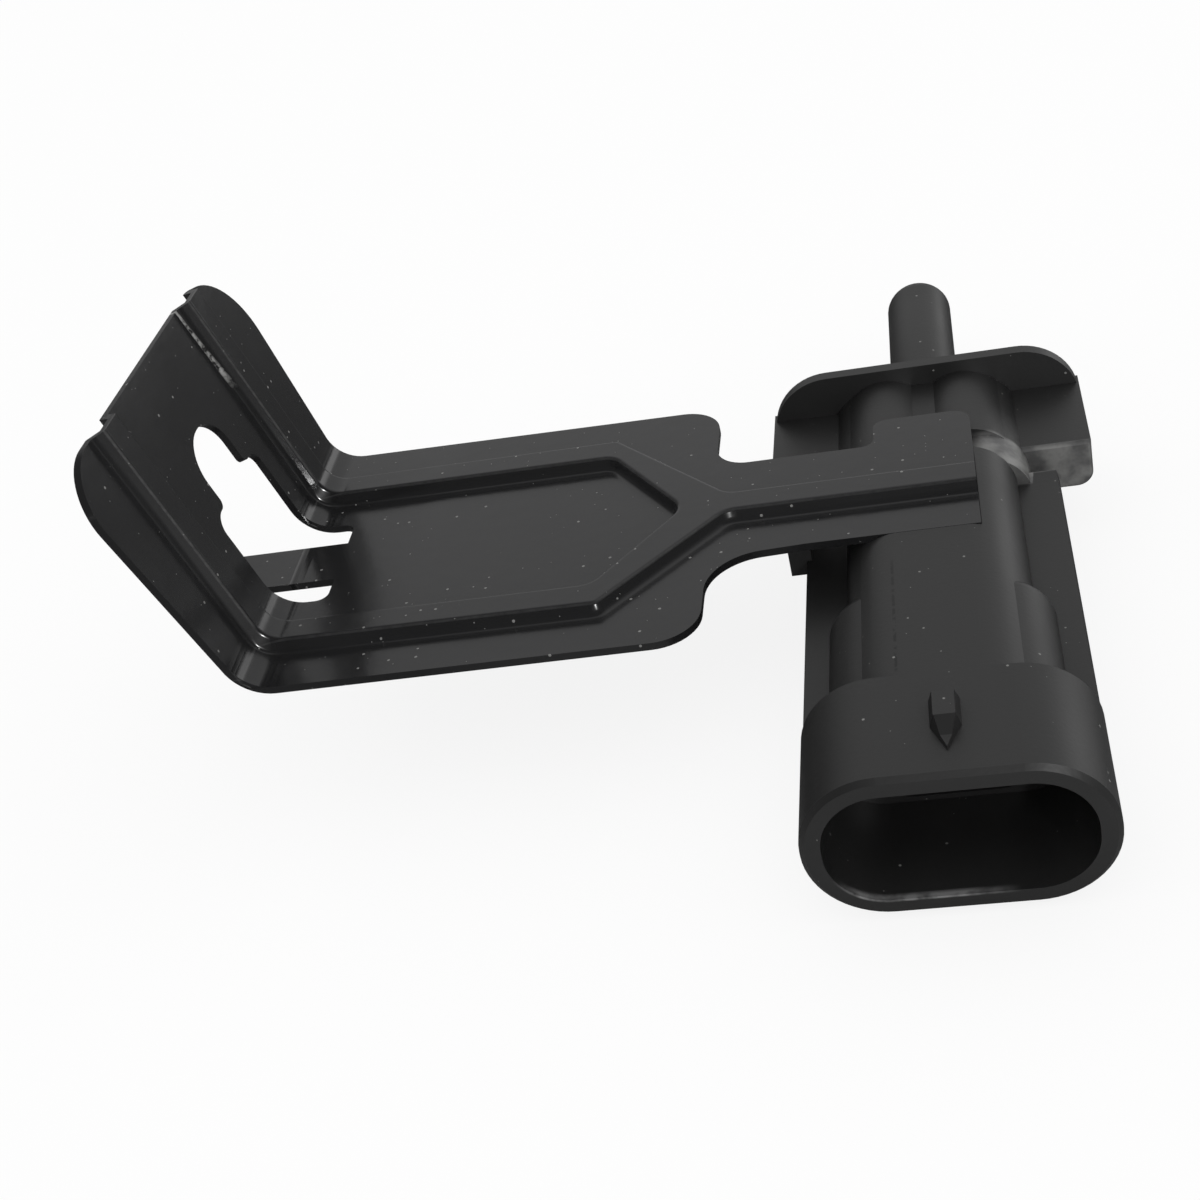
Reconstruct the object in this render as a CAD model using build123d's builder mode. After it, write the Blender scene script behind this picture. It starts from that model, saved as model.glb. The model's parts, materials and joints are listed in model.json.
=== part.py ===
from build123d import *
import os
from math import cos, radians, sin, tan

# An intake air temperature sensor: a moulded housing with a two-way socket at one end and a closed
# probe at the other, carried on the arm of a stamped steel bracket. The bracket's wall is bent up at
# the far end and holds the keyhole for one bolt. Millimetres.
# X runs along the arm from the wall to the housing, Y from the socket's mouth to the probe's tip, Z up.
# The origin is the middle of the mouth.

os.makedirs("parts", exist_ok=True)

# Shroud and body of the housing
mouth_width = 23.0
mouth_height = 13.0
mouth_corner = 6.3
mouth_break = 0.4
shroud_length = 12.3
body_width = 22.7
body_end = 46.0
shoulder_top = 1.9
barrel_width = 15.2
barrel_height = 13.0
barrel_corner = 4.6
barrel_end = 44.3
collar_width = 18.4
collar_height = 11.0
collar_corner = 4.4
collar_end = 25.6
collar_rounding = 1.6
half_height = mouth_height / 2

# Socket and what lies behind it
socket_width = 19.8
socket_height = 9.9
socket_corner = 4.6
socket_depth = 10.8
nose_width = 12.6
nose_height = 9.0
nose_corner = 3.0
nose_front = 11.0
nose_end = 17.0
carrier_width = 11.0
carrier_height = 7.0
carrier_end = 30.0
lead_room_width = 9.0
lead_room_height = 5.0
lead_room_end = 37.5
bore_radius = 2.0
inner_fit = 0.05
blade_fit = 0.02

# Catch on top of the shroud
catch_width = 2.6
catch_height = 1.2
catch_point = 2.2
catch_front = 5.3
catch_rear = 8.6
catch_foot = 3.9
catch_draft = 16.0
catch_sink = 0.5
catch_step = 0.4
catch_lip = 0.2

# Neck, flange and hood behind the arm
neck_width = 17.8
neck_height = 9.9
neck_corner = 4.3
flange_front = 48.5
flange_half = 14.5
flange_floor = 2.9
flange_under = -1.8
flange_corner = 1.5
hood_inside = 59.6
hood_wall = 1.3
hood_top = 6.9
hood_corner = 5.5
hump_radius = 4.5
hump_apart = 7.2
hump_centre = 1.25
hump_under = 0.0
edge_break = 0.3

# Probe
probe_radius = 3.3
probe_end = 86.8
probe_rounding = 2.2
probe_wall_end = 1.6

# Bracket sheet
sheet = 0.7
arm_top = half_height
sheet_under = arm_top - sheet
arm_near = 31.7
arm_root = 31.2
arm_flare = -10.5
arm_far = 46.5
arm_end = 4.1
tab_start = -4.6
tab_far = 50.9
tab_corner = 1.8
tab_fillet = 1.2
plate_near = 19.8
plate_far = 57.1
plate_end = -19.0
near_corner = 4.0
far_corner = 3.8
near_fillet = 5.0
far_fillet = 3.0

# Bend and wall of the bracket
bend_angle = 73.2
bend_radius = 3.5
bend_corner_x = -57.8
wall_length = 24.0
wall_slant = 0.5
wall_flare = 2.2
wall_near = 19.6
wall_far = 57.65
wall_near_corner = 5.0
wall_far_corner = 7.6

# Raised bead: one rib along the arm that forks into two on the plate and up the wall
bead_height = 1.2
bead_slope = 30.0
bead_half = 2.1
bead_rounding = 0.45
bead_inset = bead_height * tan(radians(bead_slope))
hollow_inset = sheet / cos(radians(bead_slope)) - sheet * tan(radians(bead_slope))
stem_y = 38.3
branch_far = 50.15
branch_near = 26.3
stem_start = -17.2
fork_outer_near = -27.5
fork_outer_far = -28.2
fork_inner = -28.9
fork_tip = -22.1
fork_rounding = 1.5
overrun = 4.0

# Keyhole in the wall, and the tongue lanced out of it
key_y = 38.3
key_slot = 7.4
key_top = 15.95
key_wide = 12.5
key_wide_top = 9.9
key_shoulder = 1.6
key_inner = 0.7
key_end = 3.6
tongue_width = 5.9
tongue_end_corner = 2.9
tongue_end = -68.6
relief_end = -53.45
relief_corner = 1.1
tongue_root = 1.5

# Where the bracket sits on the housing
seat_fit = 0.05
key_rib_fit = 0.3
key_rib_start = -5.2
lug_reach = 1.35
lug_root = 0.65
lug_front = 36.0
lug_rear = 44.0
lug_base = 0.5

# Terminals, leads and the dipped thermistor
blade_width = 1.5
blade_thick = 0.8
blade_apart = 5.0
blade_tip = 6.8
blade_taper = 0.5
blade_rear = 33.0
lead_radius = 0.22
lead_apart = 1.6
lead_start = 31.0
lead_bend = 34.5
lead_reach = 2.5
sleeve_radius = 0.5
sleeve_start = 38.0
sleeve_end = 76.0
dip_radius = 1.25
dip_length = 4.0
dip_chamfer = 0.5
dip_centre = 81.5
lead_end = dip_centre
fill_start = 72.0


def station(y):
    # The section plane at y, seen from the mouth: local x is X and local y is Z.
    return Plane.XZ.offset(-y)


def stretch(y_from, y_to):
    # The amount that extrudes a section from one station to another.
    return y_from - y_to


def rim(part, y):
    # The edges of a part that lie in the section plane at y.
    return part.edges().filter_by_position(Axis.Y, y - 0.01, y + 0.01)


# Housing: one moulding with shroud, body, neck, hooded flange and probe
with BuildPart() as housing:
    with BuildSketch(station(0)):
        RectangleRounded(mouth_width, mouth_height, mouth_corner)
    extrude(amount=stretch(0, shroud_length))
    chamfer(rim(housing, 0), length=mouth_break)
    chamfer(rim(housing, shroud_length), length=edge_break)
    with BuildSketch(station(shroud_length)):
        RectangleRounded(body_width, mouth_height, mouth_corner)
        with Locations((0, shoulder_top - half_height)):
            Rectangle(body_width, 2 * half_height, mode=Mode.INTERSECT)
    extrude(amount=stretch(shroud_length, body_end))
    with BuildSketch(station(shroud_length)):
        RectangleRounded(collar_width, collar_height, collar_corner)
    extrude(amount=stretch(shroud_length, collar_end))
    fillet(rim(housing, collar_end), radius=collar_rounding)
    with BuildSketch(station(0.5 * shroud_length)):
        RectangleRounded(barrel_width, barrel_height, barrel_corner)
    extrude(amount=stretch(0.5 * shroud_length, barrel_end))

    # Flange with its floor, two humps and the hood's upright wall
    with BuildSketch(station(flange_front)) as floor:
        with Locations((0, (flange_floor + flange_under) / 2)):
            Rectangle(2 * flange_half, flange_floor - flange_under)
        fillet(floor.vertices().group_by(Axis.Y)[0], radius=flange_corner)
    extrude(amount=stretch(flange_front, hood_inside + hood_wall))
    chamfer(rim(housing, flange_front), length=edge_break)
    with BuildSketch(station(barrel_end)):
        RectangleRounded(neck_width, neck_height, neck_corner)
    extrude(amount=stretch(barrel_end, hood_inside + hood_wall))
    with BuildSketch(station(flange_front)):
        with GridLocations(hump_apart, 0, 2, 1):
            with Locations((0, hump_centre)):
                Circle(hump_radius)
        with Locations((0, hump_under + hump_radius)):
            Rectangle(2 * flange_half, 2 * hump_radius, mode=Mode.INTERSECT)
    extrude(amount=stretch(flange_front, hood_inside))
    with BuildSketch(station(hood_inside)) as wall:
        with Locations((0, (hood_top + flange_under) / 2)):
            Rectangle(2 * flange_half, hood_top - flange_under)
        fillet(wall.vertices().group_by(Axis.Y)[0], radius=flange_corner)
        fillet(wall.vertices().group_by(Axis.Y)[-1], radius=hood_corner)
    extrude(amount=stretch(hood_inside, hood_inside + hood_wall))

    # Probe
    with BuildSketch(station(hood_inside)):
        Circle(probe_radius)
    extrude(amount=stretch(hood_inside, probe_end))
    fillet(rim(housing, probe_end), radius=probe_rounding)

    # Catch: a pointed ramp towards the mouth
    with BuildSketch(Plane.XY.offset(half_height - catch_sink)):
        with BuildLine():
            Polyline((-catch_width / 2, catch_rear), (-catch_width / 2, catch_front),
                     (0, catch_point), (catch_width / 2, catch_front),
                     (catch_width / 2, catch_rear), close=True)
        make_face()
    extrude(amount=catch_height + catch_sink, taper=catch_draft)
    with BuildSketch(Plane.YZ.offset(-catch_width)):
        with BuildLine():
            Polyline((0, half_height + catch_lip), (catch_point, half_height + catch_lip),
                     (catch_foot, half_height + catch_step), (catch_front, half_height + catch_height),
                     (catch_front, barrel_height), (0, barrel_height), close=True)
        make_face()
    extrude(amount=2 * catch_width, mode=Mode.SUBTRACT)

    # Seat for the arm, open to the left and to the rear
    with BuildSketch(Plane.XY.offset(sheet_under)):
        with BuildLine():
            Polyline((-barrel_width, arm_near - seat_fit), (arm_end + seat_fit, arm_near - seat_fit),
                     (arm_end + seat_fit, flange_front), (-barrel_width, flange_front), close=True)
        make_face()
    extrude(amount=barrel_height, mode=Mode.SUBTRACT)

    # Rib on the seat that keys into the hollow of the arm's bead, and the lug that props the arm
    with BuildSketch(Plane.XY.offset(sheet_under)):
        with Locations(((key_rib_start + arm_end) / 2, stem_y)):
            Rectangle(arm_end - key_rib_start, 2 * (bead_half - hollow_inset - key_rib_fit))
    extrude(amount=bead_height - key_rib_fit, taper=bead_slope)
    with BuildSketch(Plane.XY.offset(lug_base)):
        with Locations(((lug_root - lug_reach - body_width) / 2, (lug_front + lug_rear) / 2)):
            Rectangle(lug_root + lug_reach, lug_rear - lug_front)
    extrude(amount=sheet_under - lug_base)

    # Socket, the nose's recess, the carrier's pocket, the room for the leads and the bore
    with BuildSketch(station(0)):
        RectangleRounded(socket_width, socket_height, socket_corner)
    extrude(amount=stretch(0, socket_depth), mode=Mode.SUBTRACT)
    with BuildSketch(station(socket_depth)):
        RectangleRounded(nose_width, nose_height, nose_corner)
    extrude(amount=stretch(socket_depth, nose_end), mode=Mode.SUBTRACT)
    with BuildSketch(station(nose_end)):
        Rectangle(carrier_width + 2 * inner_fit, carrier_height + 2 * inner_fit)
    extrude(amount=stretch(nose_end, carrier_end + inner_fit), mode=Mode.SUBTRACT)
    with BuildSketch(station(carrier_end)):
        Rectangle(lead_room_width, lead_room_height)
    extrude(amount=stretch(carrier_end, lead_room_end), mode=Mode.SUBTRACT)
    with BuildSketch(station(lead_room_end)):
        Circle(bore_radius)
    extrude(amount=stretch(lead_room_end, probe_end - probe_wall_end), mode=Mode.SUBTRACT)

housing.part.label = "housing"
export_step(housing.part, "parts/housing.step")
print("housing", round(housing.part.volume), "mm3")

# Bracket: the arm and plate lie flat, the wall turns up at the bend
bend_setback = bend_radius * tan(radians(bend_angle / 2))
plate_from = bend_corner_x + bend_setback
arm_plane = Plane(origin=(0, 0, arm_top), x_dir=(1, 0, 0), z_dir=(0, 0, 1))
wall_plane = Plane(
    origin=(bend_corner_x - bend_setback * cos(radians(bend_angle)), 0,
            arm_top + bend_setback * sin(radians(bend_angle))),
    x_dir=(cos(radians(bend_angle)), 0, -sin(radians(bend_angle))),
    z_dir=(sin(radians(bend_angle)), 0, cos(radians(bend_angle))))
wall_rise = wall_length - bend_setback
branches = (branch_near, branch_far)


def pressed(plane, plan, outline, x_from, x_to):
    # A panel of sheet under the plane with the bead of this plan pressed up in it, cut to its outline.
    with BuildPart() as panel:
        with BuildSketch(plane.offset(-sheet)):
            with Locations(((x_from + x_to) / 2, (plate_near + wall_far) / 2)):
                Rectangle(x_to - x_from, 2 * (wall_far - plate_near))
        extrude(amount=sheet)
        with BuildSketch(plane):
            add(plan)
        extrude(amount=bead_height, taper=bead_slope)
        raised = panel.edges(Select.LAST)
        up = Axis(plane.origin, plane.z_dir)
        crest = raised.filter_by_position(up, bead_height - 0.01, bead_height + 0.01)
        foot = raised.filter_by_position(up, -0.01, 0.01)
        fillet(crest + foot, radius=bead_rounding)
        with BuildSketch(plane.offset(-sheet)):
            offset(plan, amount=-hollow_inset, kind=Kind.INTERSECTION)
        extrude(amount=bead_height, taper=bead_slope, mode=Mode.SUBTRACT)
        with BuildSketch(plane.offset(-2 * sheet)):
            add(outline)
        extrude(amount=4 * sheet + bead_height, mode=Mode.INTERSECT)
    return panel.part


def corner(sketch, x, y):
    # The sketch's vertex nearest to a point.
    return sketch.vertices().sort_by_distance((x, y, 0))[0]


with BuildSketch() as stem_plan:
    with BuildLine():
        Polyline((arm_end + overrun, stem_y - bead_half), (arm_end + overrun, stem_y + bead_half),
                 (stem_start, stem_y + bead_half), (fork_outer_far, branch_far + bead_half),
                 (plate_from - overrun, branch_far + bead_half),
                 (plate_from - overrun, branch_far - bead_half),
                 (fork_inner, branch_far - bead_half), (fork_tip, stem_y),
                 (fork_inner, branch_near + bead_half),
                 (plate_from - overrun, branch_near + bead_half),
                 (plate_from - overrun, branch_near - bead_half),
                 (fork_outer_near, branch_near - bead_half), (stem_start, stem_y - bead_half),
                 close=True)
    make_face()
    fillet([corner(stem_plan, stem_start, stem_y - bead_half),
            corner(stem_plan, fork_outer_near, branch_near - bead_half),
            corner(stem_plan, fork_inner, branch_near + bead_half),
            corner(stem_plan, fork_tip, stem_y),
            corner(stem_plan, fork_inner, branch_far - bead_half),
            corner(stem_plan, fork_outer_far, branch_far + bead_half),
            corner(stem_plan, stem_start, stem_y + bead_half)], radius=fork_rounding)

with BuildSketch() as wall_plan:
    for branch in branches:
        with Locations((-wall_rise / 2, branch)):
            Rectangle(wall_rise + 2 * overrun, 2 * bead_half)

with BuildSketch() as arm_outline:
    with BuildLine():
        Polyline((plate_from, wall_near), (plate_end, plate_near), (plate_end, arm_root),
                 (arm_flare, arm_near), (arm_end, arm_near), (arm_end, tab_far), (tab_start, tab_far),
                 (tab_start, arm_far), (plate_end, arm_far), (plate_end, plate_far),
                 (plate_from, wall_far), close=True)
    make_face()
    for x, y, r in ((plate_end, plate_near, near_corner), (plate_end, arm_root, near_fillet),
                    (arm_end, tab_far, tab_corner), (tab_start, tab_far, tab_fillet),
                    (tab_start, arm_far, tab_fillet), (plate_end, arm_far, far_fillet),
                    (plate_end, plate_far, far_corner)):
        fillet(corner(arm_outline, x, y), radius=r)

with BuildSketch() as wall_outline:
    with BuildLine():
        Polyline((0, wall_near), (0, wall_far), (-wall_rise + wall_slant, wall_far + wall_flare),
                 (-wall_rise, wall_near - wall_flare), close=True)
    make_face()
    fillet(corner(wall_outline, -wall_rise, wall_near - wall_flare), radius=wall_near_corner)
    fillet(corner(wall_outline, -wall_rise + wall_slant, wall_far + wall_flare), radius=wall_far_corner)

arm = pressed(arm_plane, stem_plan.sketch, arm_outline.sketch,
              plate_from - 2 * overrun, arm_end + 2 * overrun)
upright = pressed(wall_plane, wall_plan.sketch, wall_outline.sketch,
                  -wall_rise - 2 * overrun, 2 * overrun)

with BuildPart() as bracket:
    add(arm)
    add(upright)

    # The bend: the pressed section turned about the inside of the bend
    with BuildSketch(Plane.YZ.offset(plate_from)) as section:
        with Locations(((wall_near + wall_far) / 2, arm_top - sheet / 2)):
            Rectangle(wall_far - wall_near, sheet)
        for branch in branches:
            with BuildLine():
                Polyline((branch - bead_half, arm_top), (branch - bead_half + bead_inset, arm_top + bead_height),
                         (branch + bead_half - bead_inset, arm_top + bead_height),
                         (branch + bead_half, arm_top), close=True)
            make_face()
        bends = section.vertices().filter_by_position(
            Axis.X, wall_near + bead_half, wall_far - bead_half).filter_by_position(
            Axis.Y, arm_top - 0.01, arm_top + bead_height + 0.01)
        fillet(bends, radius=bead_rounding)
        for branch in branches:
            hollow = bead_half - hollow_inset
            with BuildLine():
                Polyline((branch - hollow, sheet_under), (branch - hollow + bead_inset, sheet_under + bead_height),
                         (branch + hollow - bead_inset, sheet_under + bead_height),
                         (branch + hollow, sheet_under), close=True)
            make_face(mode=Mode.SUBTRACT)
    revolve(axis=Axis((plate_from, 0, arm_top + bend_radius), (0, 1, 0)), revolution_arc=bend_angle)

    # Keyhole in the wall and its window through the bend
    with BuildSketch(wall_plane) as keyhole:
        wide_rise = key_wide_top - bend_setback
        slot_rise = key_top - bend_setback
        with BuildLine():
            Polyline((bend_setback, key_y - key_wide / 2), (-wide_rise, key_y - key_wide / 2),
                     (-wide_rise, key_y - key_slot / 2), (-slot_rise, key_y - key_slot / 2),
                     (-slot_rise, key_y + key_slot / 2), (-wide_rise, key_y + key_slot / 2),
                     (-wide_rise, key_y + key_wide / 2), (bend_setback, key_y + key_wide / 2), close=True)
        make_face()
        for side in (-1, 1):
            fillet(corner(keyhole, -wide_rise, key_y + side * key_wide / 2), radius=key_shoulder)
            fillet(corner(keyhole, -wide_rise, key_y + side * key_slot / 2), radius=key_inner)
            fillet(corner(keyhole, -slot_rise, key_y + side * key_slot / 2), radius=key_end)
    extrude(amount=bend_radius, both=True, mode=Mode.SUBTRACT)
    with BuildSketch(Plane.XY.offset(sheet_under - sheet)) as window:
        with BuildLine():
            Polyline((bend_corner_x - bend_radius, key_y - key_wide / 2), (relief_end, key_y - key_wide / 2),
                     (relief_end, key_y + key_wide / 2), (bend_corner_x - bend_radius, key_y + key_wide / 2),
                     close=True)
        make_face()
        fillet(window.vertices().group_by(Axis.X)[-1], radius=relief_corner)
    extrude(amount=2 * bend_radius, mode=Mode.SUBTRACT)

    # The tongue that stays flat and passes out through the keyhole
    with BuildSketch(Plane.XY.offset(sheet_under)) as tongue:
        with Locations(((tongue_end + relief_end + tongue_root) / 2, key_y)):
            Rectangle(relief_end + tongue_root - tongue_end, tongue_width)
        fillet(tongue.vertices().group_by(Axis.X)[0], radius=tongue_end_corner)
    extrude(amount=sheet)

bracket.part.label = "bracket"
export_step(bracket.part, "parts/bracket.step")
print("bracket", round(bracket.part.volume), "mm3")


def placed(shape, label):
    # Names one inner piece and writes it out.
    shape.label = label
    export_step(shape, "parts/" + label + ".step")
    print(label, round(shape.volume, 1), "mm3")


# Carrier: the block moulded round the two blades before the housing goes over it
blade_places = [side * blade_apart / 2 for side in (-1, 1)]
lead_places = [side * lead_apart / 2 for side in (-1, 1)]
with BuildPart() as carrier:
    with BuildSketch(station(nose_front)):
        RectangleRounded(nose_width - 2 * inner_fit, nose_height - 2 * inner_fit, nose_corner)
    extrude(amount=stretch(nose_front, nose_end - inner_fit))
    with BuildSketch(station(nose_end - inner_fit)):
        Rectangle(carrier_width, carrier_height)
    extrude(amount=stretch(nose_end - inner_fit, carrier_end))
    with BuildSketch(station(nose_front)):
        for x in blade_places:
            with Locations((x, 0)):
                Rectangle(blade_width + 2 * blade_fit, blade_thick + 2 * blade_fit)
    extrude(amount=stretch(nose_front, carrier_end), mode=Mode.SUBTRACT)
placed(carrier.part, "carrier")


def blade(x):
    # A flat blade with a chamfered tip, its tail standing out behind the carrier.
    with BuildPart() as made:
        with BuildSketch(station(blade_tip)):
            with Locations((x, 0)):
                Rectangle(blade_width, blade_thick)
        extrude(amount=stretch(blade_tip, blade_rear))
        chamfer(rim(made, blade_tip), length=blade_taper / 2)
    return made.part


def lead(x_blade, x_bore):
    # A lead welded on top of the blade's tail that runs in to the bore and back to the thermistor.
    level = blade_thick / 2 + lead_radius
    with BuildPart() as made:
        with BuildLine() as run:
            Polyline((x_blade, lead_start, level), (x_blade, lead_bend, level),
                     (x_bore, lead_bend + lead_reach, 0), (x_bore, lead_end, 0))
        with BuildSketch(Plane(run.line @ 0, z_dir=run.line % 0)):
            Circle(lead_radius)
        sweep(transition=Transition.RIGHT)
    return made.part


def sleeve(x):
    # The insulating sleeve round one lead.
    with BuildPart() as made:
        with BuildSketch(station(sleeve_start)):
            with Locations((x, 0)):
                Circle(sleeve_radius)
                Circle(lead_radius + inner_fit, mode=Mode.SUBTRACT)
        extrude(amount=stretch(sleeve_start, sleeve_end))
    return made.part


leads = [lead(x_blade, x_bore) for x_blade, x_bore in zip(blade_places, lead_places)]
sleeves = [sleeve(x) for x in lead_places]
for side, x, wire, tube in zip(("left", "right"), blade_places, leads, sleeves):
    placed(blade(x), "terminal_" + side)
    placed(wire, "lead_" + side)
    placed(tube, "sleeve_" + side)

# Thermistor, dipped in resin with the ends of the leads inside it
with BuildPart() as thermistor:
    with Locations((0, dip_centre, 0)):
        Cylinder(dip_radius, dip_length, rotation=(90, 0, 0))
    chamfer(rim(thermistor, dip_centre + dip_length / 2), length=dip_chamfer)
    for wire in leads:
        add(wire, mode=Mode.SUBTRACT)
placed(thermistor.part, "thermistor_bead")

# Fill: the cast compound that holds the thermistor in the tip
with BuildPart() as fill:
    with BuildSketch(station(fill_start)):
        Circle(bore_radius)
    extrude(amount=stretch(fill_start, probe_end - probe_wall_end))
    add(thermistor.part, mode=Mode.SUBTRACT)
    for wire in leads:
        add(wire, mode=Mode.SUBTRACT)
    with BuildSketch(station(fill_start)):
        with GridLocations(lead_apart, 0, 2, 1):
            Circle(sleeve_radius)
    extrude(amount=stretch(fill_start, sleeve_end), mode=Mode.SUBTRACT)
placed(fill.part, "probe_fill")
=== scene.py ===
# %% [markdown]
# # Intake air temperature sensor on its stamped bracket
# The measured solids of the sensor come in as a fixed frame: a black moulded housing with a socket
# and a closed probe, and a black coated steel bracket. This lesson gives each of them its finish,
# lights them softly and sets the camera at the place that the photograph was taken from. Their
# shapes are right as they come, so nothing is added to them.

import json
from math import cos, degrees, radians, sin

import bmesh
import bpy
from mathutils import Matrix, Vector


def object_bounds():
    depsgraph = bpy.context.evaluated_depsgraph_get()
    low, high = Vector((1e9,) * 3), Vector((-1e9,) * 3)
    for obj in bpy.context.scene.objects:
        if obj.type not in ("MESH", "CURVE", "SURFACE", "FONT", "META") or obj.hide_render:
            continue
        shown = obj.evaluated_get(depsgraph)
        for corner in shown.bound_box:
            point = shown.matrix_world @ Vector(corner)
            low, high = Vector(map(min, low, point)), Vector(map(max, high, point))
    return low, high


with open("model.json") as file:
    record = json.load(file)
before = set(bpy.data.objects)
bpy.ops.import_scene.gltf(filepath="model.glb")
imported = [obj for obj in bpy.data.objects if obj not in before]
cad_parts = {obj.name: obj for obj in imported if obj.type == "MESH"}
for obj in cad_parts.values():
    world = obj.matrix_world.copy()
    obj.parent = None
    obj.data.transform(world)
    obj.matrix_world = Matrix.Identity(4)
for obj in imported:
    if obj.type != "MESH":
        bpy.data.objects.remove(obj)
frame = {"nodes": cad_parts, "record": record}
cad_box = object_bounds()
nodes = frame["nodes"]
print("nodes:", ", ".join(sorted(nodes)))

# %% [markdown]
# A finish is easier to read as a sum than as a web of nodes. Here a small class wraps a socket, so
# that `1 - mask` or `grain * 0.2` adds the Math nodes by itself. Drawing the nodes by hand in the
# shader editor gives the same finish, but a sum can be read and changed in one line.

# %% Shader maths as expressions
class Wire:
    def __init__(self, finish, socket):
        self.finish = finish
        self.socket = socket

    def maths(self, operation, first, second=0.0):
        return self.finish.node("ShaderNodeMath", {"operation": operation}, {0: first, 1: second})

    def __add__(self, other):
        return self.maths("ADD", self, other)

    def __radd__(self, other):
        return self.maths("ADD", other, self)

    def __sub__(self, other):
        return self.maths("SUBTRACT", self, other)

    def __rsub__(self, other):
        return self.maths("SUBTRACT", other, self)

    def __mul__(self, other):
        return self.maths("MULTIPLY", self, other)

    def __rmul__(self, other):
        return self.maths("MULTIPLY", other, self)

    def __lt__(self, other):
        return self.maths("LESS_THAN", self, other)

    def __gt__(self, other):
        return self.maths("GREATER_THAN", self, other)

    def absolute(self):
        return self.maths("ABSOLUTE", self)

    def root(self):
        return self.maths("SQRT", self)

    def at_least(self, least):
        return self.maths("MAXIMUM", self, least)


print("a socket can be added, subtracted, multiplied and compared")

# %% [markdown]
# A finish is one material. Every node comes from one method, which takes the node's type, its
# settings and what goes in its sockets. Places are Object coordinates, because each solid's own
# origin is the frame's origin: a mark's place in metres can be written as it is measured on the
# part, and it stays there when the camera moves.

# %% One finish
class Finish:
    def __init__(self, name):
        self.name = name
        self.material = bpy.data.materials.new(name)
        self.material.use_nodes = True
        self.tree = self.material.node_tree
        self.shader = self.tree.nodes["Principled BSDF"]
        self.place = self.node("ShaderNodeTexCoord", output="Object")

    def node(self, kind, settings=None, sockets=None, output=0):
        made = self.tree.nodes.new(kind)
        for name, value in (settings or {}).items():
            setattr(made, name, value)
        for name, value in (sockets or {}).items():
            self.plug(made.inputs[name], value)
        return Wire(self, made.outputs[output])

    def plug(self, socket, value):
        if isinstance(value, Wire):
            self.tree.links.new(value.socket, socket)
        else:
            socket.default_value = value

    def set(self, **values):
        for name, value in values.items():
            self.plug(self.shader.inputs[name.replace("_", " ")], value)

    def show(self, surface):
        self.plug(self.tree.nodes["Material Output"].inputs["Surface"], surface)

    def axes(self):
        return [self.node("ShaderNodeSeparateXYZ", sockets={0: self.place}, output=axis)
                for axis in range(3)]

    def noise(self, scale, detail=2.0, roughness=0.5):
        return self.node("ShaderNodeTexNoise", {"noise_dimensions": "3D"},
                         {"Vector": self.place, "Scale": scale, "Detail": detail,
                          "Roughness": roughness}, output="Fac")

    def span(self, value, low, high, out_low=0.0, out_high=1.0):
        return self.node("ShaderNodeMapRange", {"clamp": True},
                         {"Value": value, "From Min": low, "From Max": high,
                          "To Min": out_low, "To Max": out_high}, output="Result")

    def blend(self, share, first, second):
        return self.node("ShaderNodeMix", {"data_type": "RGBA"},
                         {"Factor": share, 6: first, 7: second}, output=2)

    def bump(self, height, distance=1.0, strength=1.0):
        return self.node("ShaderNodeBump", sockets={"Strength": strength, "Distance": distance,
                                                    "Height": height}, output="Normal")


print("a finish is built from nodes, one method call each")

# %% [markdown]
# The painted highlights, reflections and shade on the part, such as a bright streak or a pale band,
# sit between bounds. Each is a product of ramps that run from 0 to 1, and soft ends keep it from
# looking cut out. A painted picture could do the same, but ramps need no file and stay sharp at any
# size.

# %% Ramps that bound a mark
def fall(finish, value, full, gone):
    return finish.span(value, full, gone, 1.0, 0.0)


def between(finish, value, start, full, still_full, gone):
    return finish.span(value, start, full) * fall(finish, value, still_full, gone)


def line(finish, distance, full, gone):
    # 1 within full of the line on either side, and 0 from gone on
    return fall(finish, distance * distance, full * full, gone * gone)


def off_round_box(along, across, half_along, half_across, corner):
    # how far a point lies outside a rectangle with round corners
    past_side = (along.absolute() - (half_along - corner)).at_least(0.0)
    past_top = (across.absolute() - (half_across - corner)).at_least(0.0)
    return (past_side * past_side + past_top * past_top).root() - corner


def grey(level):
    return (level, level, level, 1)


print("ramps ready")

# %% [markdown]
# Dust is what breaks up the black first. A Voronoi pattern drops one point in each cell, and a spot
# counts as dust where the distance to that point is small. A second, random value per cell keeps
# most cells clean, so that the specks lie scattered and not in a grid. Two sizes of cell give
# coarse specks and fine ones. A particle system could scatter real grains, but they would be
# pieces of the model, and dust isn't one.

# %% Dust
dust_colour = (0.30, 0.30, 0.29, 1)
dust_cover = 0.6
dust_dull = 0.3
# For each size: cells in a metre, a speck's radius in metres, the share of cells that keep theirs
steel_dust = ((830.0, 0.00013, 0.30), (2000.0, 0.00005, 0.12))
plastic_dust = ((830.0, 0.00012, 0.10), (2000.0, 0.00005, 0.05))


def specks(finish, cells, radius, kept):
    distance, tint = [finish.node("ShaderNodeTexVoronoi", {"feature": "F1"},
                                  {"Vector": finish.place, "Scale": cells}, output=output)
                      for output in ("Distance", "Color")]
    chance = finish.node("ShaderNodeSeparateColor", sockets={"Color": tint}, output=0)
    return (distance < radius * cells) * (chance < kept)


def lay_dust(finish, sizes, colour, roughness):
    coarse, fine = sizes
    dust = specks(finish, *coarse) + specks(finish, *fine)
    finish.set(Base_Color=finish.blend(finish.span(dust, 0.0, 1.0, 0.0, dust_cover), colour, dust_colour),
               Roughness=roughness + dust * dust_dull)


print("dust in", len(steel_dust), "sizes")

# %% [markdown]
# The bracket was stamped from sheet steel and then coated black. Its marks are measured from two
# planes: the plate's top, which is level, and the wall's front, which leans away from the plate.
# How far a point stands off both tells the bead's foot from its crest, wherever the bead runs, and
# that needs no second copy of its route.

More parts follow.
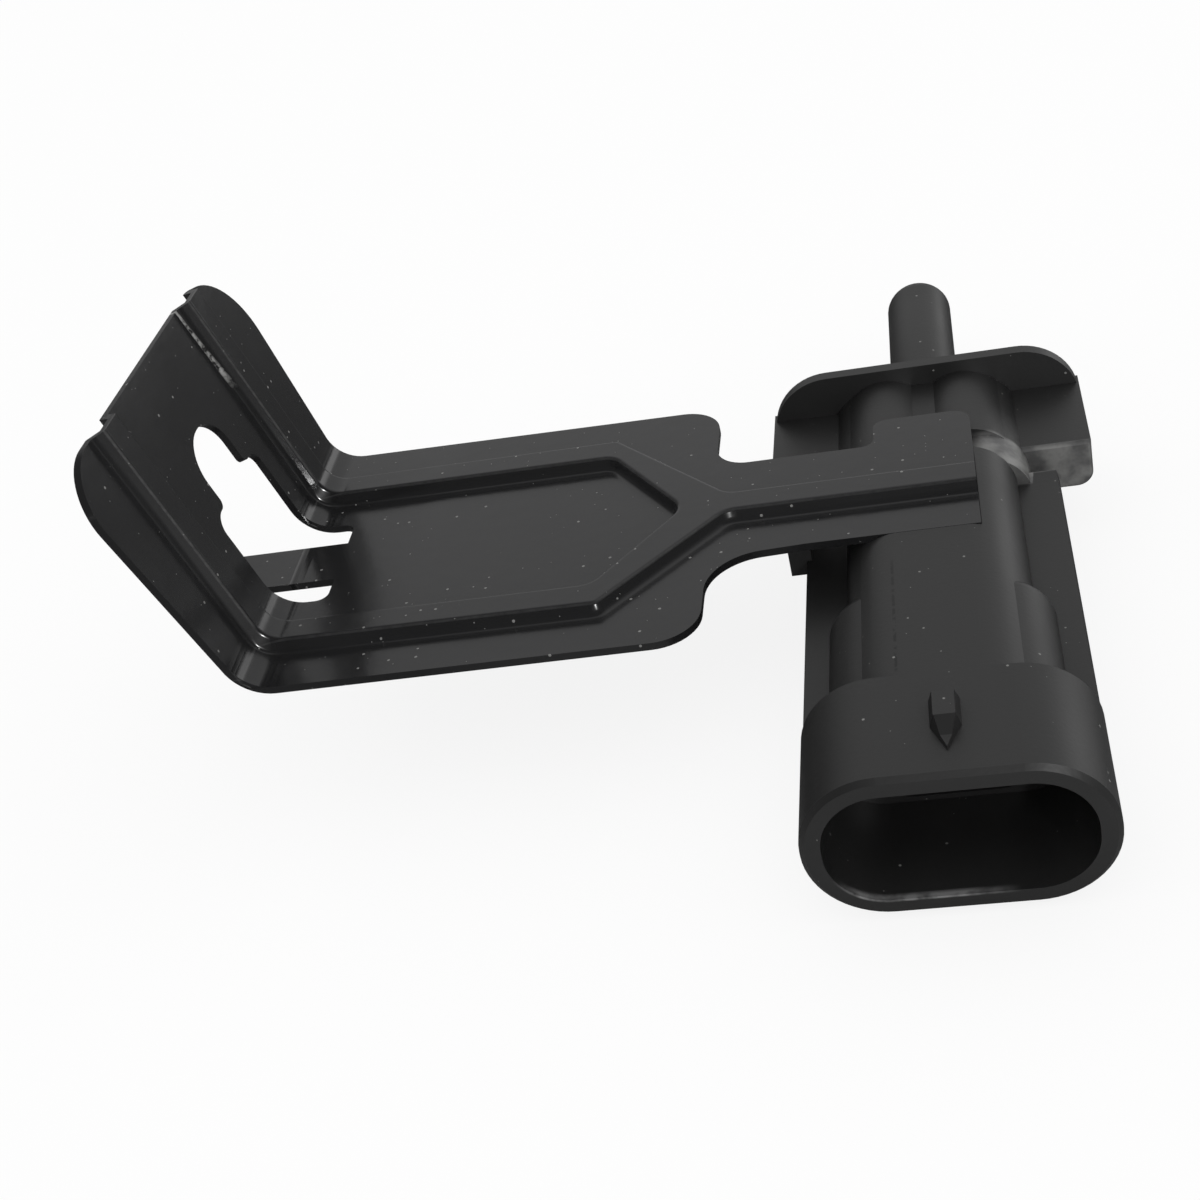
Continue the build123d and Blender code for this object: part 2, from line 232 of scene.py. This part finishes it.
# %% Heights over the plate and the wall
plate_level = 0.0065
bend_at = -0.0578
wall_tilt = radians(73.2)


def heights(x, z):
    over_plate = z - plate_level
    off_wall = (x - bend_at) * sin(wall_tilt) + over_plate * cos(wall_tilt)
    return over_plate, off_wall


print("the wall leans", round(90 - degrees(wall_tilt), 1), "degrees from upright")

# %% [markdown]
# The press leaves soft forms that the solid does without: the plate dips before the bend, so that it
# mirrors the wall there, and the bead's feet run out in a curve. The coat pulls itself nearly flat
# but keeps a faint ripple. They could be modelled in the solid, but all three are low slopes that
# the eye reads from reflections alone, so they go into one bump, as heights in metres.

# %% Soft forms of the coated steel
ripple_cells = 650.0
ripple_high = 0.000015
dip_stretch = (-0.0565, -0.0440)
dip_deep = 0.00105
foot_high = 0.00060
foot_fill = 0.00022


def steel_relief(finish):
    x, y, z = finish.axes()
    over_plate, off_wall = heights(x, z)
    dip = fall(finish, x, *dip_stretch)
    foot = fall(finish, over_plate, 0.0, foot_high) + fall(finish, off_wall, 0.0, foot_high)
    return (finish.noise(ripple_cells) * ripple_high - dip * dip * (2 - dip) * dip_deep
            + foot * foot * foot_fill)


print("the plate dips", round(dip_deep * 1000, 2), "mm")

# %% [markdown]
# Two painted highlights lie on the coat: a bright streak along the foot of the wall's far bead,
# broken into flecks, and a thin paler line along the crests' edges, most of all on the wall. Such
# lines could be found from how sharp an edge is, but here they have a known place, so they are bounded
# by ramps. A fine noise breaks them up, so that neither runs as an even line.

# %% Painted highlights on the coated steel
fleck_cells = 1500.0
# where the painted highlight along the foot of the wall's far bead lies, and its colour
streak_highlight_y = 0.0490
streak_highlight_slant = 0.045
streak_highlight_half = (0.00010, 0.0002646)
streak_highlight_heights = (0.0205, 0.0225, 0.0290, 0.0296)
streak_highlight_flecks = (0.42, 0.58)
streak_highlight_colour = (0.38, 0.38, 0.37, 1)
# where the painted highlight on the crests' edges lies, how strong it is and its grey
crest_edge = (0.00098, 0.00105, 0.00112, 0.00118)
above_plate = (0.002, 0.003)
crest_share = 0.35
crest_flecks = (0.30, 0.60, 0.5, 1.0)
crest_highlight_grey = 0.070


def steel_painted_highlights(finish, coat):
    x, y, z = finish.axes()
    over_plate, off_wall = heights(x, z)
    fleck = finish.noise(fleck_cells, detail=3.0, roughness=0.7)
    # painted highlight: a thin paler line on the crests' edges, on the plate and on the wall
    crest = between(finish, over_plate, *crest_edge)
    ridge = between(finish, off_wall, *crest_edge) * finish.span(over_plate, *above_plate)
    crest_highlight = (crest * crest_share + ridge) * finish.span(fleck, *crest_flecks)
    # painted highlight: a bright streak in flecks along the foot of the wall's far bead
    streak_highlight = (line(finish, y + z * streak_highlight_slant - streak_highlight_y, *streak_highlight_half)
               * between(finish, z, *streak_highlight_heights) * finish.span(fleck, *streak_highlight_flecks))
    return finish.blend(streak_highlight, finish.blend(crest_highlight, coat, grey(crest_highlight_grey)), streak_highlight_colour)


print("streak_highlight", round((streak_highlight_heights[3] - streak_highlight_heights[0]) * 1000, 1), "mm high")

# %% [markdown]
# The coat itself is semi-gloss black. Handling leaves patches that are a shade lighter and duller,
# and one slow noise drives both, so that they fall in the same places. A glossy black shows what
# it mirrors far more than its own colour, which is why the roughness matters most.

# %% Coated steel
coat_patches = 55.0
shade_fade = (0.35, 0.7)
sheen_fade = (0.3, 0.7)
coat_colours = ((0.011, 0.011, 0.0115, 1), (0.014, 0.014, 0.0145, 1))
coat_roughness = (0.16, 0.22)


def coated_steel():
    finish = Finish("coated_steel")
    patches = finish.noise(coat_patches, detail=3.0)
    coat = finish.blend(finish.span(patches, *shade_fade), *coat_colours)
    lay_dust(finish, steel_dust, steel_painted_highlights(finish, coat),
             finish.span(patches, *sheen_fade, *coat_roughness))
    finish.set(Normal=finish.bump(steel_relief(finish)), IOR=1.5)
    return finish


print("coat of roughness", coat_roughness[0], "to", coat_roughness[1])

# %% [markdown]
# The neck and the flange's front carry a painted reflection: a pale band where light glances off
# them. The band starts at a level y and steps back beside the neck. A mottle between two greys breaks
# it up.

# %% Painted reflection on the housing's neck
neck_reflection_left = (0.0035, 0.0050)
neck_reflection_top = (0.0050, 0.0054)
neck_reflection_start = (0.0440, 0.0444)
neck_reflection_end = (0.0486, 0.0490)
neck_side = (0.0089, 0.0091)
neck_step = 0.0018
neck_reflection_mottle = (0.40, 0.62)
# the two greys of the painted reflection
neck_reflection_greys = ((0.085, 0.085, 0.085, 1), (0.18, 0.18, 0.175, 1))


def paint_neck_reflection(finish, colour, mottle):
    x, y, z = finish.axes()
    behind = y - finish.span(x, *neck_side, 0.0, neck_step)
    # painted reflection: a pale band on the neck and the flange's front
    band = (finish.span(x, *neck_reflection_left) * finish.span(behind, *neck_reflection_start)
            * fall(finish, y, *neck_reflection_end) * fall(finish, z, *neck_reflection_top))
    return finish.blend(band, colour, finish.blend(finish.span(mottle, *neck_reflection_mottle), *neck_reflection_greys))


print("neck reflection band", round((neck_reflection_end[1] - neck_reflection_start[0]) * 1000, 1), "mm long")

# %% [markdown]
# A painted highlight, a glint, runs along the socket's lower inner edge, where the rim catches the
# light. The edge is a rectangle with round corners, so its distance is worked out from the same three
# sizes that the mouth has.

# %% Painted glint on the socket's lip
mouth_half = (0.0099, 0.00495)
mouth_corner = 0.0046
lip_half = (0.00010, 0.0002236)
lip_deep = (0.0003, 0.0007)
lip_low = (-0.0042, -0.0025)
lip_left = (0.0, 0.004)
lip_mottle = (0.38, 0.55, 0.2, 0.9)
# the grey of the painted glint
lip_glint_grey = 0.20


def paint_lip_glint(finish, colour, mottle):
    x, y, z = finish.axes()
    # painted highlight: a glint along the lower inner edge of the mouth
    lip = (line(finish, off_round_box(x, z, *mouth_half, mouth_corner), *lip_half)
           * fall(finish, y, *lip_deep) * fall(finish, z, *lip_low) * fall(finish, x, *lip_left)
           * finish.span(mottle, *lip_mottle))
    return finish.blend(lip, colour, grey(lip_glint_grey))


print("mouth", round(2000 * mouth_half[0], 1), "by", round(2000 * mouth_half[1], 1), "mm inside")

# %% [markdown]
# Where the two halves of the mould met, a parting line runs along the barrel. The shade in its
# shallow groove is painted as a row of short dark dashes, because the groove is too shallow to be worth
# modelling in the solid, so it is only a colour.

# %% Painted shade along the parting line
seam_x = -0.00339
seam_half = (0.0000775, 0.0001414)
seam_run = (0.0120, 0.0130, 0.0270, 0.0280)
seam_above = 0.0060
dash_cells = 1400.0
dash_ends = (0.44, 0.50)
# the grey of the painted shade
seam_shade_grey = 0.003


def paint_seam_shade(finish, colour):
    x, y, z = finish.axes()
    # painted shade: short dark dashes in the shallow groove of the parting line
    seam = (line(finish, x - seam_x, *seam_half) * (z > seam_above) * between(finish, y, *seam_run)
            * finish.span(finish.noise(dash_cells), *dash_ends))
    return finish.blend(seam, colour, grey(seam_shade_grey))


print("seam", round((seam_run[3] - seam_run[0]) * 1000, 1), "mm long")

# %% [markdown]
# The housing is glass-filled nylon straight from the mould. It is duller than the coat, and its
# grain comes from the spark-eroded tool, so its bump is finer and its roughness higher. The carrier
# behind the socket is the same kind of plastic without the marks, so one function makes both.

# %% Moulded plastic
plastic_patches = 70.0
mottle_cells = 420.0
grain_cells = 2600.0
grain_high = 0.0001
grain_strength = 0.08
lighter = 1.3
duller = 0.08


def moulded_plastic(name, dull, shade, marked):
    finish = Finish(name)
    patches = finish.noise(plastic_patches, detail=3.0)
    black = finish.blend(finish.span(patches, *shade_fade), grey(shade), grey(shade * lighter))
    if marked:
        mottle = finish.noise(mottle_cells, detail=3.0, roughness=0.6)
        # these three are painted light: a reflection on the neck, a glint on the lip and shade along the
        # parting line
        black = paint_neck_reflection(finish, black, mottle)
        black = paint_lip_glint(finish, black, mottle)
        black = paint_seam_shade(finish, black)
    lay_dust(finish, plastic_dust, black, finish.span(patches, *sheen_fade, dull, dull + duller))
    finish.set(Normal=finish.bump(finish.noise(grain_cells), grain_high, grain_strength))
    return finish


print("grain of", round(1000 / grain_cells, 2), "mm")

# %% [markdown]
# Inside, the blades carry a dull tin plate, the leads are bare wire, and the sleeves, the sensing
# bead and the cast compound are plain plastics. They hardly show, but they're finished too, because
# a part may be cut open or seen down the socket.

# %% Metals and inner plastics
def plain(name, colour, dull, cells, darker, spread, metallic=0.0):
    finish = Finish(name)
    cloud = finish.noise(cells)
    deep = tuple(darker * part for part in colour)
    finish.set(Base_Color=finish.blend(finish.span(cloud, *sheen_fade), colour + (1,), deep + (1,)),
               Roughness=finish.span(cloud, *sheen_fade, dull, dull + spread), Metallic=metallic)
    return finish


def bare_metal(name, colour, dull):
    return plain(name, colour, dull, cells=1800.0, darker=0.85, spread=0.15, metallic=1.0)


def plain_plastic(name, colour, dull):
    return plain(name, colour, dull, cells=400.0, darker=0.9, spread=0.1)


finishes = {finish.name: finish.material for finish in (
    coated_steel(),
    moulded_plastic("housing_plastic", dull=0.40, shade=0.013, marked=True),
    moulded_plastic("carrier_plastic", dull=0.50, shade=0.013, marked=False),
    bare_metal("tinned_brass", (0.72, 0.70, 0.66), dull=0.30),
    bare_metal("lead_wire", (0.68, 0.68, 0.67), dull=0.35),
    plain_plastic("sleeve_plastic", (0.75, 0.74, 0.70), dull=0.45),
    plain_plastic("bead_coat", (0.05, 0.05, 0.045), dull=0.30),
    plain_plastic("fill_resin", (0.09, 0.07, 0.05), dull=0.35),
)}
print("finishes:", ", ".join(finishes))

# %% [markdown]
# The record that came with the solids says which finish each of them takes. Reading it from there
# keeps the two files from drifting apart, as they could if the list were typed here again.

# %% Give each node its finish
slots = {part["node"]: part["material_slot"] for part in frame["record"]["subparts"]}
for name, node in nodes.items():
    material = finishes[slots[name]]
    if node.material_slots:
        for slot in node.material_slots:
            slot.material = material
    else:
        node.data.materials.append(material)
    print(name, "is finished as", material.name)

# %% [markdown]
# The photograph shows the sensor on plain white. The floor is a pale sheet just under the lowest
# point. To the camera it glows nearly white, and a share of plain diffuse stays in it, so that it
# still takes the sensor's shadow. More light would whiten the floor too, but the sensor with it.

# %% Floor
floor_gap = 0.0005
floor_half = 1.2
floor_grey = 0.92
floor_glow = 0.86
floor_level = cad_box[0][2] - floor_gap


def stage_piece(name, shape, finish):
    mesh = bpy.data.meshes.new(name)
    shape.to_mesh(mesh)
    shape.free()
    mesh.materials.append(finish.material)
    piece = bpy.data.objects.new(name, mesh)
    bpy.context.scene.collection.objects.link(piece)
    return piece


def flat_sheet(half, middle):
    shape = bmesh.new()
    bmesh.ops.create_grid(shape, x_segments=1, y_segments=1, size=half)
    bmesh.ops.translate(shape, verts=shape.verts, vec=middle)
    return shape


def seen(finish):
    # 1 for what the camera, a reflection or a see-through piece looks at
    path = [finish.node("ShaderNodeLightPath", output=name)
            for name in ("Is Camera Ray", "Is Glossy Ray", "Is Transmission Ray")]
    return (path[0] + path[1] + path[2]) > 0.5


pale = Finish("pale_floor")
pale.set(Base_Color=grey(floor_grey), Roughness=0.9)
glow = pale.node("ShaderNodeEmission", sockets={"Color": grey(1), "Strength": 1.0})
pale.show(pale.node("ShaderNodeMixShader",
                    sockets={0: seen(pale) * floor_glow, 1: Wire(pale, pale.shader.outputs[0]), 2: glow}))
pale.material.cycles.emission_sampling = "NONE"
stage_piece("floor", flat_sheet(floor_half, Vector((0, 0, floor_level))), pale)
print("floor at", round(floor_level * 1000, 2), "mm")

# %% [markdown]
# The steep faces mirror what lies under the sensor, and in the photograph they are dark. A dark
# floor would make them so, but the background is white, so a dark card lies just over the floor,
# where only reflections see it. It fades to pale in two patches, one in front and one on the right,
# because the rims and slopes that look there are light.

# %% Dark card
card_half = 0.5
card_lift = 0.0002
card_middle = Vector((0.05, 0.10, floor_level + card_lift))
card_greys = (grey(0.10), grey(0.9))
front_share = 0.4
front_away = (-0.03, 0.03)
front_along = (-0.05, -0.03, 0.03, 0.05)
side_along = (0.035, 0.05, 0.16, 0.20)
side_away = (0.02, 0.04, 0.14, 0.17)


def mirrored_only(piece):
    piece.visible_camera = False
    piece.visible_diffuse = False
    piece.visible_shadow = False
    piece.visible_transmission = False


slate = Finish("slate")
along, away, _ = slate.axes()
front = slate.span(away, *front_away, front_share, 0.0) * between(slate, along, *front_along)
side = between(slate, along, *side_along) * between(slate, away, *side_away)
slate.set(Base_Color=slate.blend(front + side, *card_greys), Roughness=0.8)
mirrored_only(stage_piece("dark_card", flat_sheet(card_half, card_middle), slate))
print("card", round(2 * card_half, 2), "m wide")

# %% [markdown]
# The light itself is plain: a white room of strength 1 on every side, in which a colour renders
# about as it is written. An even world has no bright spot, so it gives soft shadows and no glare.

# %% White room
world = bpy.data.worlds.new("room")
bpy.context.scene.world = world
world.use_nodes = True
world.node_tree.nodes["Background"].inputs["Color"].default_value = grey(1)
world.node_tree.nodes["Background"].inputs["Strength"].default_value = 1.0
print("room of strength 1")

# %% [markdown]
# Black shows little of its own colour, and nearly all that is seen is what it mirrors. In a studio,
# cloth and flags round the object shape that, so a tent hangs round the sensor that only
# reflections see. It is pale behind the sensor, where the flat tops look, and dark overhead and in
# front. One brighter window in it, low at the back, draws the light lines on the bends. Lamps could
# draw them too, but they would light the floor and wash out the black.

# %% Tent
tent_radius = 0.9
tent_side = Vector((0.25, 0.85, 0.45)).normalized()
tent_fade = (0.50, 0.82)
tent_dark = 0.09
tent_pale = 0.62
window_side = Vector((0.55, 0.83, 0.08)).normalized()
window_fade = (0.965, 0.99)
window_strength = 1.0
cloth = bmesh.new()
bmesh.ops.create_icosphere(cloth, subdivisions=4, radius=tent_radius)
bmesh.ops.bisect_plane(cloth, geom=cloth.verts[:] + cloth.edges[:] + cloth.faces[:],
                       plane_co=(0, 0, floor_level), plane_no=(0, 0, 1), clear_inner=True)
weave = Finish("tent_cloth")


def facing(side):
    # 1 where the tent lies in this direction, falling with the angle from it
    return weave.node("ShaderNodeVectorMath", {"operation": "DOT_PRODUCT"},
                      {0: weave.place, 1: side / tent_radius}, output="Value")


strength = (weave.span(facing(tent_side), *tent_fade, tent_dark, tent_pale)
            + weave.span(facing(window_side), *window_fade, 0.0, window_strength))
weave.show(weave.node("ShaderNodeEmission", sockets={"Strength": strength}))
weave.material.cycles.emission_sampling = "NONE"
tent = stage_piece("tent", cloth, weave)
mirrored_only(tent)
print("tent of", len(tent.data.polygons), "faces")

# %% [markdown]
# One small lamp in front of the sensor puts the glints on the bends and at the fork's corner, where
# the sheet is curved most. It is left out of diffuse light, so that it adds glints and no more: the
# colours stay as the room shows them.

# %% Lamp
lamp_at = Vector((0.12, -0.24, 0.12))
lamp_towards = Vector((-0.03, 0.04, 0.0))
lamp_size = 0.020
lamp_watts = 0.64
light = bpy.data.lights.new("spot_front", "AREA")
light.shape = "SQUARE"
light.size = lamp_size
light.energy = lamp_watts
lamp = bpy.data.objects.new("spot_front", light)
lamp.location = lamp_at
lamp.rotation_euler = (lamp_towards - lamp_at).to_track_quat("-Z", "Y").to_euler()
lamp.visible_diffuse = False
bpy.context.scene.collection.objects.link(lamp)
print("lamp", round((lamp_towards - lamp_at).length, 2), "m away")

# %% [markdown]
# The camera was worked out from the photograph: where its parallel edges run together gives the way
# it looks, and the mouth's width gives the distance. The focal length in pixels of the photograph
# becomes a lens in millimetres by the width of the camera's film. The camera's own axes are set as
# a matrix, which keeps the small roll that a track-to constraint would lose.

# %% Camera
camera_at = Vector((0.004662, -0.103585, 0.093563))
looks = Vector((-0.202957, 0.814416, -0.543631)).normalized()
roll = radians(-14.4586)
focal_px = 1904.694
photo_px = 1200.0
level = looks.cross(Vector((0, 0, 1))).normalized()
upright = level.cross(looks)
right = level * cos(roll) + upright * sin(roll)
up = upright * cos(roll) - level * sin(roll)
eye = bpy.data.cameras.new("camera")
eye.sensor_fit = "HORIZONTAL"
eye.sensor_width = 36.0
eye.lens = eye.sensor_width * focal_px / photo_px
eye.clip_start = 0.005
camera = bpy.data.objects.new("camera", eye)
camera.matrix_world = Matrix.Translation(camera_at) @ Matrix((right, up, -looks)).transposed().to_4x4()
bpy.context.scene.collection.objects.link(camera)
bpy.context.scene.camera = camera
bpy.context.scene.view_settings.view_transform = "Standard"
print("lens", round(eye.lens, 1), "mm")

# %% [markdown]

# %% End
print("done")
